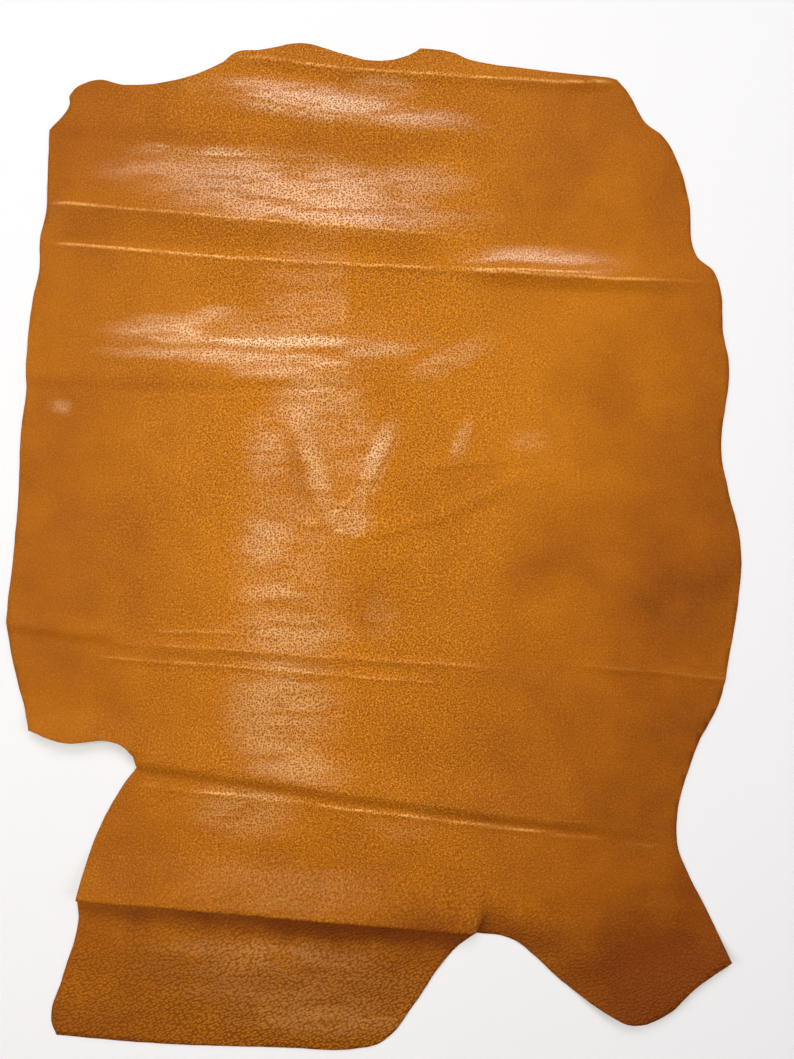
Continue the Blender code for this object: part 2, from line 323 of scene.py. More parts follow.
class LeatherLooks(bpy.types.PropertyGroup):
    """Colours and grain of the leather."""

    back: colour("Back", "Colour along the back, where the skin is thick", (0.455, 0.146, 0.002))
    # the darkest colour: partly the deeper dye of the shanks, partly painted shade toward the tail,
    # in the creases and under the tail pleat
    belly_and_shade: colour("Belly", "Colour of the shanks, where it took more dye", (0.15, 0.027, 0.001))
    # partly wear, partly a painted highlight: the pebble tops and polished places are painted in
    # this lighter colour
    rubbed_and_highlight: colour("Rubbed", "Colour of the raised grain, rubbed by handling", (0.75, 0.32, 0.05))
    # a painted highlight, painted along the sharpest crests
    crest: colour("Crests", "Colour along the sharpest crests", (0.82, 0.42, 0.13))
    # partly dye in the pits, partly painted shade in the pits and wide pores
    pit: colour("Pits", "Colour between the pebbles", (0.17, 0.04, 0.001))
    flesh: colour("Flesh", "Colour of the flesh side", (0.5, 0.27, 0.11))
    cut: colour("Cut", "Colour of the cut edge", (0.24, 0.1, 0.03))
    fine_grain: length("Fine grain", "Spacing of the pebbles along the back", 2.9 * MM)
    coarse_grain: length("Coarse grain", "Spacing of the pebbles on the shanks", 3.7 * MM)
    relief: length("Relief", "Depth of the coarse pits", 1.0 * MM)
    gloss: share("Gloss", "Roughness of the polished places", 0.28)
    matt: share("Matt", "Roughness away from the polished places", 0.6)


class StageSizes(bpy.types.PropertyGroup):
    """The floor, the lights and the camera."""

    floor_width: length("Floor", "Width of the floor", 12.0)
    camera_height: length("Camera height", "Height of the camera above the floor", 0.85)
    camera_x: length("Camera X", "Place of the camera across the hide", 0.0248)
    camera_y: length("Camera Y", "Place of the camera along the hide", 0.0187)
    frame_height: length("Frame height", "Length of floor that the picture spans", 1.165)
    window_power: FloatProperty(
        name="Window", description="Power of the light past the neck", default=4.2, unit="POWER"
    )
    sky_power: FloatProperty(
        name="Sky", description="Power of the wide light behind it", default=224, unit="POWER"
    )
    lamp_power: FloatProperty(
        name="Lamp", description="Power of the ceiling lamp", default=17.7, unit="POWER"
    )
    wall_power: FloatProperty(
        name="Walls", description="Power of the light from each side", default=143, unit="POWER"
    )
    room_light: FloatProperty(
        name="Room", description="Strength of the light from all round", default=0.1
    )


# ---- node helpers -------------------------------------------------------------------


def add_node(tree, kind, inputs=None, **settings):
    """Adds a node, sets it, and links or sets each input by its name or place."""
    node = tree.nodes.new(kind)
    for setting, value in settings.items():
        setattr(node, setting, value)
    for key, value in (inputs or {}).items():
        socket = node.inputs[key]
        if isinstance(value, bpy.types.NodeSocket):
            tree.links.new(value, socket)
        else:
            socket.default_value = value
    return node


def maths(tree, operation, *values, clamp=False):
    """A Math node of either kind of tree, and its result."""
    inputs = dict(enumerate(values))
    node = add_node(tree, "ShaderNodeMath", inputs, operation=operation, use_clamp=clamp)
    return node.outputs[0]


def product(tree, first, *others):
    """All the values multiplied."""
    for other in others:
        first = maths(tree, "MULTIPLY", first, other)
    return first


def less(tree, value, loss):
    """1 where the value is 0, and 1 less the loss where it is 1."""
    return maths(tree, "MULTIPLY_ADD", value, -loss, 1.0)


def to_either_side(tree, chance, reach):
    """A random value between 0 and 1, moved to lie within half the reach of 0."""
    return maths(tree, "MULTIPLY_ADD", chance, reach, -reach / 2)


def vectors(tree, operation, *values, result="Vector"):
    """A Vector Math node of either kind of tree, and its result."""
    node = add_node(tree, "ShaderNodeVectorMath", dict(enumerate(values)), operation=operation)
    return node.outputs[result]


def scaled(tree, vector, factor):
    inputs = {0: vector, "Scale": factor}
    return add_node(tree, "ShaderNodeVectorMath", inputs, operation="SCALE").outputs[0]


def turned(tree, place, centre, angle):
    """The place turned about an upright line through the centre."""
    inputs = {"Vector": place, "Center": centre, "Angle": angle}
    return add_node(tree, "ShaderNodeVectorRotate", inputs, rotation_type="Z_AXIS").outputs[0]


def smooth_step(tree, value, start, end, low=0.0, high=1.0):
    """Runs smoothly from low to high as the value goes from start to end."""
    inputs = {"Value": value, "From Min": start, "From Max": end, "To Min": low, "To Max": high}
    node = add_node(tree, "ShaderNodeMapRange", inputs, interpolation_type="SMOOTHSTEP")
    return node.outputs["Result"]


def mix_value(tree, factor, first, second):
    """Runs evenly from first to second as the factor goes from 0 to 1."""
    inputs = {"Factor": factor, 2: first, 3: second}
    return add_node(tree, "ShaderNodeMix", inputs).outputs[0]


# ---- the flat sheet -----------------------------------------------------------------

KNIFE_PITCH = 90  # turns of the knife's waver to a metre
KNIFE_SEED = 3  # any number but 0, which would give another waver on each run
CREASE_SLOPE = math.radians(-4.8)  # the creases run down to the right by this angle
SLOPE_RANGE = math.radians(9)  # folds within this of the slope follow the strips
STRIP_GROWTH = 0.22  # how much wider a strip gets for each metre from a crest
SNAP = 0.2 * MM  # a cut passes through a point that is this near to it
WRINKLES_LEFT = -140 * MM  # the columns are fine from here
WRINKLES_RIGHT = 110 * MM  # to here, where wrinkles cross the strips


def edge_loop(sizes):
    """A bmesh of the cut edge as one closed loop, with the waver of the knife."""
    curve = bpy.data.curves.new("cut edge", "CURVE")
    curve.dimensions = "2D"
    curve.fill_mode = "NONE"
    curve.resolution_u = sizes.edge_steps
    spline = curve.splines.new("BEZIER")
    spline.bezier_points.add(len(EDGE) - 1)
    spline.use_cyclic_u = True
    for point, row in zip(spline.bezier_points, EDGE):
        point.co = (row.x * MM, row.y * MM, 0)
        handle = "VECTOR" if row.corner else "AUTO"
        point.handle_left_type = point.handle_right_type = handle
    outline = bpy.data.objects.new("cut edge", curve)
    bpy.context.scene.collection.objects.link(outline)
    graph = bpy.context.evaluated_depsgraph_get()
    mesh = bpy.data.meshes.new_from_object(outline.evaluated_get(graph))
    bpy.data.objects.remove(outline, do_unlink=True)
    sheet = bmesh.new()
    sheet.from_mesh(mesh)
    bpy.data.meshes.remove(mesh)
    noise.seed_set(KNIFE_SEED)
    for point in sheet.verts:
        waver = noise.noise_vector(point.co * KNIFE_PITCH) * sizes.edge_waver
        point.co.xy += waver.xy
    return sheet


def cut_rest(sheet, rest, place, across):
    """Cuts the faces of rest along a line, and returns those beyond it."""
    edges = dict.fromkeys(edge for face in rest for edge in face.edges)
    points = dict.fromkeys(point for face in rest for point in face.verts)
    made = bmesh.ops.bisect_plane(
        sheet,
        geom=[*rest, *edges, *points],
        dist=SNAP,
        plane_co=(*place, 0),
        plane_no=(*across, 0),
    )
    faces = [part for part in made["geom"] if isinstance(part, bmesh.types.BMFace)]
    line = place.dot(across)
    return [face for face in faces if face.calc_center_median().xy.dot(across) > line]


def crest_heights(up):
    """The height of each fold's crest, measured square to the creases."""
    heights = []
    for row in FOLDS:
        run = Vector((row.end_x - row.start_x, row.end_y - row.start_y))
        if abs(math.atan2(run.y, run.x) - CREASE_SLOPE) < SLOPE_RANGE:
            middle = Vector((row.start_x, row.start_y)) + run / 2
            heights.append((middle.dot(up) + row.bow) * MM)
    return heights


def cut_bands(sheet, across, band_width):
    """Cuts the sheet into bands square to across, each as wide as band_width gives there."""
    places = [point.co.xy.dot(across) for point in sheet.verts]
    place, end = min(places), max(places)
    rest = sheet.faces[:]
    while rest:
        place += band_width(place)
        if place >= end:
            break
        rest = cut_rest(sheet, rest, across * place, across)


def cut_sheet(sheet, sizes):
    """Cuts the flat face into strips along the creases and columns across them."""
    up = Vector((-math.sin(CREASE_SLOPE), math.cos(CREASE_SLOPE)))
    crests = crest_heights(up)

    def strip_width(height):
        nearest = min(abs(height - crest) for crest in crests)
        return min(sizes.fine_strip + STRIP_GROWTH * nearest, sizes.wide_strip)

    def column_width(x):
        outside = max(WRINKLES_LEFT - x, x - WRINKLES_RIGHT, 0)
        return min(sizes.fine_column + STRIP_GROWTH * outside, sizes.wide_column)

    cut_bands(sheet, up, strip_width)
    cut_bands(sheet, Vector((1, 0)), column_width)


def flat_sheet(sizes):
    """The mesh of the flat sheet, facing up."""
    sheet = edge_loop(sizes)
    bmesh.ops.contextual_create(sheet, geom=sheet.edges[:])
    sheet.normal_update()
    if sheet.faces[:][0].normal.z < 0:
        bmesh.ops.reverse_faces(sheet, faces=sheet.faces[:])
    cut_sheet(sheet, sizes)
    mesh = bpy.data.meshes.new("hide_sheet")
    sheet.to_mesh(mesh)
    sheet.free()
    mesh.shade_smooth()
    return mesh


# ---- the folds, as Geometry Nodes ---------------------------------------------------


def new_tree(name, inputs, outputs):
    """A Geometry Nodes group with these named sockets, and its input and output nodes."""
    tree = bpy.data.node_groups.new(name, "GeometryNodeTree")
    for side, sockets in (("INPUT", inputs), ("OUTPUT", outputs)):
        for socket, kind in sockets:
            tree.interface.new_socket(socket, in_out=side, socket_type=f"NodeSocket{kind}")
    return tree, tree.nodes.new("NodeGroupInput"), tree.nodes.new("NodeGroupOutput")


FOLD_INPUTS = [("Start", "Vector"), ("End", "Vector")] + [
    (name, "Float")
    for name in ("Bow", "Height", "Above", "Below", "Lean", "Fade In", "Fade Out", "Keen", "Wander")
]
FOLD_OUTPUTS = [("Offset", "Vector"), ("Slide", "Vector"), ("Crest", "Float")]
NO_FADE = 0.5 * MM  # a fade shorter than this is none
WANDER_PITCH = 0.09  # a crest strays to one side and back over this length
KEEN_FALL = 1.25  # how steeply a sharp crest falls away
CREST_REACH = 1.6 * MM  # how near its crest a fold gets the painted highlight and the flattened grain
CREST_KEEN = (0.35, 0.9)  # a crest gets more of both as its Keen runs over these
CREST_SLOPE = 10.0  # a crest gets them in full from a rise of 1 in this
NOISE_MIDDLE = (0.5, 0.5, 0.5)  # the middle value of a colour noise


def wandered(tree, place, pitch, reach, seed=0.0):
    """The place moved by up to half the reach each way, changing over the pitch."""
    shifted = vectors(tree, "ADD", place, (seed, seed, seed))
    inputs = {"Vector": shifted, "Scale": 1 / pitch, "Detail": 1.0}
    shift = add_node(tree, "ShaderNodeTexNoise", inputs).outputs[1]
    centred = vectors(tree, "SUBTRACT", shift, NOISE_MIDDLE)
    return vectors(tree, "ADD", place, scaled(tree, centred, reach))


def end_ramp(tree, run, fade):
    """0 at an end of the crest and 1 from the fade's width inwards, or 1 with no fade."""
    none = maths(tree, "LESS_THAN", fade, NO_FADE)
    return maths(tree, "MAXIMUM", none, smooth_step(tree, run, 0.0, fade))


def fold_tree():
    """The group that gives the move of each point of the flat sheet by one fold."""
    tree, given, result = new_tree("Leather fold", FOLD_INPUTS, FOLD_OUTPUTS)
    given = given.outputs
    flat = add_node(tree, "GeometryNodeInputPosition").outputs[0]
    here = wandered(tree, flat, WANDER_PITCH, given["Wander"])
    line = vectors(tree, "SUBTRACT", given["End"], given["Start"])
    full = vectors(tree, "LENGTH", line, result="Value")
    along = vectors(tree, "NORMALIZE", line)
    left = vectors(tree, "CROSS_PRODUCT", (0, 0, 1), along)
    offset = vectors(tree, "SUBTRACT", here, given["Start"])
    run = vectors(tree, "DOT_PRODUCT", offset, along, result="Value")
    part = maths(tree, "DIVIDE", run, full, clamp=True)
    arch = maths(tree, "MULTIPLY", part, maths(tree, "SUBTRACT", 1.0, part))
    bow = product(tree, arch, 4.0, given["Bow"])
    side = vectors(tree, "DOT_PRODUCT", offset, left, result="Value")
    side = maths(tree, "SUBTRACT", side, bow)
    is_above = maths(tree, "GREATER_THAN", side, 0.0)
    reach = mix_value(tree, is_above, given["Below"], given["Above"])
    flank = maths(tree, "DIVIDE", maths(tree, "ABSOLUTE", side), reach, clamp=True)
    wave = maths(tree, "COSINE", maths(tree, "MULTIPLY", flank, math.pi))
    round_hump = maths(tree, "MULTIPLY_ADD", wave, 0.5, 0.5)
    rest = maths(tree, "SUBTRACT", 1.0, flank)
    keen_hump = maths(tree, "POWER", rest, KEEN_FALL)
    hump = mix_value(tree, given["Keen"], round_hump, keen_hump)
    start_ramp = end_ramp(tree, run, given["Fade In"])
    far_ramp = end_ramp(tree, maths(tree, "SUBTRACT", full, run), given["Fade Out"])
    ends = maths(tree, "MULTIPLY", start_ramp, far_ramp)
    strength = maths(tree, "MULTIPLY", hump, ends)
    rise = maths(tree, "MULTIPLY", strength, given["Height"])
    rise = add_node(tree, "ShaderNodeCombineXYZ", {"Z": rise}).outputs[0]
    lean = scaled(tree, left, maths(tree, "MULTIPLY", strength, given["Lean"]))
    tree.links.new(vectors(tree, "SUBTRACT", rise, lean), result.inputs["Offset"])
    taken = maths(tree, "MULTIPLY", mix_value(tree, is_above, 1.0, hump), ends)
    slide = scaled(tree, left, maths(tree, "MULTIPLY", taken, given["Lean"]))
    tree.links.new(slide, result.inputs["Slide"])
    near = smooth_step(tree, maths(tree, "ABSOLUTE", side), CREST_REACH, 0.0)
    steep = maths(tree, "DIVIDE", given["Height"], given["Above"])
    steep = maths(tree, "MULTIPLY", steep, smooth_step(tree, given["Keen"], *CREST_KEEN))
    steep = maths(tree, "MULTIPLY", steep, CREST_SLOPE, clamp=True)
    tree.links.new(product(tree, near, ends, steep), result.inputs["Crest"])
    return tree


UNEVEN = (  # name, pitch across and along the hide, and the place it takes in the noise
    ("Swell", (0.11, 0.11), 3.0),
    ("Streak", (0.13, 0.024), 7.0),
    ("Ripple", (0.026, 0.026), 11.0),
)
LOW_LEVEL = 0.38  # where the noise is lower than this, the sheet lies on the floor
OVAL_PITCH, OVAL_WANDER = 0.04, 0.014  # the edge of an oval wanders by half of this
OVAL_SEED = 5.0
OVAL_EDGE = (1.25, 0.3)  # an oval fades in over these shares of its size
STOP_BLUR = 2 * MM


def unevenness(tree, here, pitch, height, seed):
    """A rise and fall of the sheet over the pitch along each axis."""
    place = vectors(tree, "ADD", here, (seed, seed, seed))
    place = vectors(tree, "DIVIDE", place, (*pitch, 1.0))
    texture = add_node(tree, "ShaderNodeTexNoise", {"Vector": place, "Scale": 1.0, "Detail": 1.0})
    level = maths(tree, "SUBTRACT", texture.outputs[0], LOW_LEVEL)
    return maths(tree, "MULTIPLY", level, height)


def oval_amount(tree, here, rows):
    """How far each point lies inside one of the ovals of a table of places."""
    place = wandered(tree, here, OVAL_PITCH, OVAL_WANDER, OVAL_SEED)
    across = add_node(tree, "ShaderNodeSeparateXYZ", {0: here}).outputs["X"]
    total = 0.0
    for row in rows:
        centre = (row.x * MM, row.y * MM, 0)
        level = turned(tree, place, centre, -math.radians(row.turn))
        offset = vectors(tree, "SUBTRACT", level, centre)
        oval = vectors(tree, "DIVIDE", offset, (row.half_width * MM, row.half_height * MM, 1))
        reach = vectors(tree, "LENGTH", vectors(tree, "MULTIPLY", oval, (1, 1, 0)), result="Value")
        amount = smooth_step(tree, reach, *OVAL_EDGE, 0.0, row.amount)
        stop = row.stop * MM
        inside = smooth_step(tree, across, stop + STOP_BLUR, stop - STOP_BLUR)
        total = maths(tree, "MAXIMUM", total, maths(tree, "MULTIPLY", amount, inside))
    return total


def store(tree, geometry, name, value, kind):
    """Stores a value on each point under this name."""
    inputs = {"Geometry": geometry, "Name": name}
    node = add_node(tree, "GeometryNodeStoreNamedAttribute", inputs, data_type=kind)
    shown = [socket for socket in node.inputs if socket.name == "Value" and socket.enabled]
    tree.links.new(value, shown[0])
    return node.outputs["Geometry"]


LAY_LENGTHS = ("Swell", "Streak", "Ripple", "Wander")  # inputs named for the hide's sizes
FLOOR_LIMIT = (-1.0, -1.0, 0.0)  # no point goes below the floor


def lay_tree():
    """The group that lays the sheet in its folds and stores what its finish reads."""
    sockets = [("Geometry", "Geometry"), ("Finish", "Material")]
    sockets += [(name, "Float") for name in LAY_LENGTHS]
    tree, given, result = new_tree("Lay the hide", sockets, [("Geometry", "Geometry")])
    given = given.outputs
    here = add_node(tree, "GeometryNodeInputPosition").outputs[0]
    fold = fold_tree()
    total, slide, crest = (0.0, 0.0, 0.0), here, 0.0
    for row in FOLDS:
        lengths = (row.bow, row.height, row.above, row.below, row.lean, row.fade_in, row.fade_out)
        group = add_node(tree, "GeometryNodeGroup", node_tree=fold)
        group.label = row.name
        group.inputs["Start"].default_value = (row.start_x * MM, row.start_y * MM, 0)
        group.inputs["End"].default_value = (row.end_x * MM, row.end_y * MM, 0)
        for (name, _), value in zip(FOLD_INPUTS[2:], lengths):
            group.inputs[name].default_value = value * MM
        group.inputs["Keen"].default_value = row.keen
        tree.links.new(given["Wander"], group.inputs["Wander"])
        total = vectors(tree, "ADD", total, group.outputs["Offset"])
        slide = vectors(tree, "SUBTRACT", slide, group.outputs["Slide"])
        crest = maths(tree, "MAXIMUM", crest, group.outputs["Crest"])
    rise = 0.0
    for name, pitch, seed in UNEVEN:
        rise = maths(tree, "ADD", rise, unevenness(tree, here, pitch, given[name], seed))
    uneven = add_node(tree, "ShaderNodeCombineXYZ", {"Z": rise}).outputs[0]
    total = vectors(tree, "ADD", total, uneven)
    laid = vectors(tree, "MAXIMUM", vectors(tree, "ADD", here, total), FLOOR_LIMIT)
    geometry = store(tree, given["Geometry"], FLAT_PLACE, slide, "FLOAT_VECTOR")
    geometry = store(tree, geometry, CREST, crest, "FLOAT")
    for name, rows in ((POLISHED, POLISH_PLACES), (DYE_AND_SHADE, DYE_AND_SHADE_PLACES)):
        geometry = store(tree, geometry, name, oval_amount(tree, here, rows), "FLOAT")
    inputs = {"Geometry": geometry, "Position": laid}
    moved = add_node(tree, "GeometryNodeSetPosition", inputs)
    whole = add_node(tree, "GeometryNodeRealizeInstances", {0: moved.outputs["Geometry"]})
    inputs = {"Geometry": whole.outputs["Geometry"], "Material": given["Finish"]}
    dressed = add_node(tree, "GeometryNodeSetMaterial", inputs)
    tree.links.new(dressed.outputs["Geometry"], result.inputs["Geometry"])
    return tree


def set_input(modifier, name, value):
    """Sets a named input of a Geometry Nodes modifier by its identifier."""
    for item in modifier.node_group.interface.items_tree:
        if item.item_type == "SOCKET" and item.in_out == "INPUT" and item.name == name:
            modifier[item.identifier] = value
            return
    raise KeyError(f"{modifier.node_group.name} has no input named {name}")


# ---- the finishes -------------------------------------------------------------------
# A constant that is a range holds the values at which a smooth step starts and ends. Where
# it has four values, the last two are what the step gives there, in place of 0 and 1.


def new_material(name):
    material = bpy.data.materials.new(name)
    material.use_nodes = True
    tree = material.node_tree
    return material, tree, tree.nodes["Principled BSDF"]


def mix_colour(tree, factor, first, second):
    node = add_node(tree, "ShaderNodeMix", {"Factor": factor}, data_type="RGBA")
    for socket, value in ((node.inputs[6], first), (node.inputs[7], second)):
        if isinstance(value, bpy.types.NodeSocket):
            tree.links.new(value, socket)
        else:
            socket.default_value = (*value, 1.0)
    return node.outputs[2]


def add_bump(tree, shader, height, depth, strength=1.0):
    """Gives the shader the relief of a height map, which is this deep for a height of 1."""
    inputs = {"Height": height, "Distance": depth, "Strength": strength}
    bump = add_node(tree, "ShaderNodeBump", inputs)
    tree.links.new(bump.outputs["Normal"], shader.inputs["Normal"])


def cloud(tree, place, pitch, detail=2.0, rough=0.5):
    """A soft random value that changes over the pitch."""
    inputs = {"Vector": place, "Scale": 1 / pitch, "Detail": detail, "Roughness": rough}
    return add_node(tree, "ShaderNodeTexNoise", inputs).outputs[0]


PEBBLE_RANDOM = 0.72  # 0 is even rows


def pebbles(tree, place, pitch, seed=0.0):
    """How far each point lies from the middle of its pebble, as a share of the pitch."""
    shifted = vectors(tree, "ADD", place, (seed, seed, 0.0))
    inputs = {"Vector": shifted, "Scale": 1 / pitch, "Randomness": PEBBLE_RANDOM}
    cells = add_node(tree, "ShaderNodeTexVoronoi", inputs, voronoi_dimensions="2D")
    return cells.outputs["Distance"]


def attribute(tree, name, output):
    return add_node(tree, "ShaderNodeAttribute", attribute_name=name).outputs[output]


ZONE_PITCH, ZONE_WANDER = 0.12, 0.2  # the zones of the skin wander by half of this
SHANK_HEIGHTS = (-0.3, -0.5)  # the grain gets coarse toward the shanks
FLANK_WIDTHS = (0.3, 0.5)  # and toward both flanks
BACK_LINE = -0.04  # the grain is liveliest along this line, where its colour contrast also paints a sheen
LIVELY_WIDTHS = (0.08, 0.32, 1.0, 0.32)  # and less so at these distances from it
LIVELY_SHANK = 0.6  # but no less than this on the shanks


def skin_zones(tree, place):
    """The place across and up the skin, how coarse its grain is, and how lively: the liveliness
    also sets the grain's painted sheen, strongest along the back.
    """
    split = add_node(tree, "ShaderNodeSeparateXYZ", {0: place}).outputs
    wander = to_either_side(tree, cloud(tree, place, ZONE_PITCH), ZONE_WANDER)
    across = maths(tree, "ADD", split["X"], wander)
    up = maths(tree, "ADD", split["Y"], wander)
    shank = smooth_step(tree, up, *SHANK_HEIGHTS)
    flank = smooth_step(tree, maths(tree, "ABSOLUTE", across), *FLANK_WIDTHS)
    coarse = maths(tree, "MAXIMUM", shank, flank)
    off_back = maths(tree, "ABSOLUTE", maths(tree, "SUBTRACT", across, BACK_LINE))
    lively_and_sheen = smooth_step(tree, off_back, *LIVELY_WIDTHS)
    lively_and_sheen = maths(tree, "MAXIMUM", lively_and_sheen, maths(tree, "MULTIPLY", shank, LIVELY_SHANK))
    return across, up, coarse, lively_and_sheen


BEND_PITCH, BEND = 0.03, 0.01  # the rows of pebbles bend by half of this
ROW_TURN = math.radians(-25)  # the pebbles of the shanks and flanks lie in rows at this angle
ROW_STRETCH = (0.85, 1.15, 1.0)
FINE_REACH, LARGE_REACH = 0.44, 0.38  # a pebble falls away to this share of its pitch
FLAT_TOP = 0.1  # and is flat up to this one
PORE_SHIFT = 0.4  # moves the pores off the middles of the pebbles
PORE_WIDTHS = (0.49, 0.15)  # a pore sinks over these shares of its pitch
PORE_PATCH, PORE_PATCHES = 0.005, (0.3, 0.6, 0.6, 1.0)
GAP_WIDTHS = (0.44, 0.64)  # the gaps between large pebbles
GAP_SHARE, GAP_POLISHED = 0.8, 0.4  # how far gaps stand in for pores, and the loss by polish


def grain_pattern(tree, place, coarse, polished, looks):
    """How far each point is raised as part of a pebble, and sunk as part of a pore or gap."""
    bent = wandered(tree, place, BEND_PITCH, BEND)
    rows = vectors(tree, "MULTIPLY", turned(tree, bent, (0, 0, 0), ROW_TURN), ROW_STRETCH)
    fine = pebbles(tree, bent, looks.fine_grain)
    large = pebbles(tree, rows, looks.coarse_grain)
    reach = mix_value(tree, coarse, FINE_REACH, LARGE_REACH)
    raised = smooth_step(tree, mix_value(tree, coarse, fine, large), reach, FLAT_TOP)
    pores = pebbles(tree, bent, looks.fine_grain, PORE_SHIFT)
    patches = smooth_step(tree, cloud(tree, place, PORE_PATCH), *PORE_PATCHES)
    pores = maths(tree, "MULTIPLY", smooth_step(tree, pores, *PORE_WIDTHS), patches)
    gaps = smooth_step(tree, large, *GAP_WIDTHS)
    netlike = maths(tree, "MULTIPLY_ADD", polished, -GAP_POLISHED, GAP_SHARE)
    netlike = maths(tree, "MULTIPLY", coarse, netlike)
    return raised, mix_value(tree, netlike, pores, gaps)


BIG_PORE_PITCH, BIG_PORE_WIDTHS = 0.009, (0.24, 0.1)
BIG_PORE_PATCH, BIG_PORE_CHANCE = 0.011, (0.56, 0.64)


def big_pores(tree, place, polished):
    """The few wide pores that show where the grain is polished, painted dark as shade."""
    pores = smooth_step(tree, pebbles(tree, place, BIG_PORE_PITCH), *BIG_PORE_WIDTHS)
    chance = smooth_step(tree, cloud(tree, place, BIG_PORE_PATCH), *BIG_PORE_CHANCE)
    return product(tree, pores, chance, polished)


DYE_AND_SHADE_RIGHT, DYE_AND_SHADE_TAIL = 0.9, 0.9  # the colour darkens by this for a metre to the right and down: partly dye, partly painted shade where the light falls off
DYE_NECK = (0.22, 0.5, 0.0, 0.25)  # and over these heights toward the neck
DARK_SIDES = (0.12, 0.34, 0.0, 0.36)  # and over these distances from the middle
DARK_SIDE_HEIGHTS = (-0.2, 0.05, 0.55, 1.0)  # the sides are darkest above the loin
DYE_PITCH, DYE_BLOTCHES, DYE_LOW = 0.11, 0.9, -0.42
DYE_AND_SHADE_PLACED = 0.6  # how much a place of the second table adds


def dye_and_shade_depth(tree, place, across, up, dye_and_shade):
    """How dark each point is, from the colour of the back at 0 to the darkest at 1: partly dye,
    partly painted shade toward the tail and right, in the creases and under the tail pleat.
    """
    right = maths(tree, "MULTIPLY", maths(tree, "MAXIMUM", across, 0.0), DYE_AND_SHADE_RIGHT)
    slope = maths(tree, "MULTIPLY", maths(tree, "SUBTRACT", right, up), DYE_AND_SHADE_TAIL)
    neck = smooth_step(tree, up, *DYE_NECK)
    sides = smooth_step(tree, maths(tree, "ABSOLUTE", across), *DARK_SIDES)
    sides = maths(tree, "MULTIPLY", sides, smooth_step(tree, up, *DARK_SIDE_HEIGHTS))
    depth = maths(tree, "MAXIMUM", slope, 0.0)
    depth = maths(tree, "ADD", depth, maths(tree, "ADD", neck, sides))
    blotches = cloud(tree, place, DYE_PITCH, detail=4.0, rough=0.6)
    blotches = maths(tree, "MULTIPLY_ADD", blotches, DYE_BLOTCHES, DYE_LOW)
    blotches = maths(tree, "MULTIPLY_ADD", dye_and_shade, DYE_AND_SHADE_PLACED, blotches)
    return maths(tree, "ADD", depth, blotches, clamp=True)


POLISH_STRETCH = (0.2, 1.0, 1.0)  # the patches of polish run across the hide
POLISH_PITCH, POLISH_PATCHES = 0.012, (0.36, 0.52, 0.35, 1.0)
POLISH_FULL = (0.85, 1.0)  # a place this polished has no patches


def patchy_polish(tree, place, polished):
    """The polish, broken into patches that run across the hide."""
    long = vectors(tree, "MULTIPLY", place, POLISH_STRETCH)
    patches = smooth_step(tree, cloud(tree, long, POLISH_PITCH, detail=3.0), *POLISH_PATCHES)
    patches = maths(tree, "MAXIMUM", patches, smooth_step(tree, polished, *POLISH_FULL))
    return maths(tree, "MULTIPLY", polished, patches)


LINE_PITCH, LINE_PATCHES = 0.05, (0.36, 0.6, 0.3, 0.85)
LINE_PITTED = 0.4


def crest_line(tree, place, crest, pitted):
    """A painted highlight along the sharp crests, stronger in some stretches."""
    patches = smooth_step(tree, cloud(tree, place, LINE_PITCH, detail=3.0), *LINE_PATCHES)
    return product(tree, patches, less(tree, pitted, LINE_PITTED), crest)


WEAR_AND_HIGHLIGHT, WEAR_BELLY = 0.6, 0.3  # how much lighter the pebbles are painted, partly wear and partly a painted highlight, and how much less where the colour is darkest
WEAR_DARKENED, WEAR_COARSE = 0.7, 0.3  # the loss of that lightening where dye and painted shade darken the colour, and on coarse grain
POLISH_HIGHLIGHT = 0.2  # a painted highlight: how much lighter a polished place is painted
SHADE_MATT = 0.75  # how dark the pits are painted where the fine grain is matt: partly dye, partly painted shade
# the wide pores are painted this dark, as painted shade in their hollows
SHADE_BIG_PORE = 0.8
MATT_LOSS = 0.6  # polishing takes away this share of the pebbles' relief
CREST_LOSS = 0.7  # rubbing takes away this share on a sharp crest
FINE_RELIEF = 0.28  # relief of the fine grain, as a share of the coarse one's
STREAK_STRETCH = (1.0, 0.06, 1.0)
STREAK_PITCH, STREAK_REACH = 0.009, 0.12  # the roughness varies in streaks by half of this
COAT_PITTED = 0.9  # how much less gloss a pit has
COAT_IOR = 1.9
GRAIN_SPECULAR = 0.2
GRAIN_TINT = (1.0, 0.88, 0.5, 1.0)


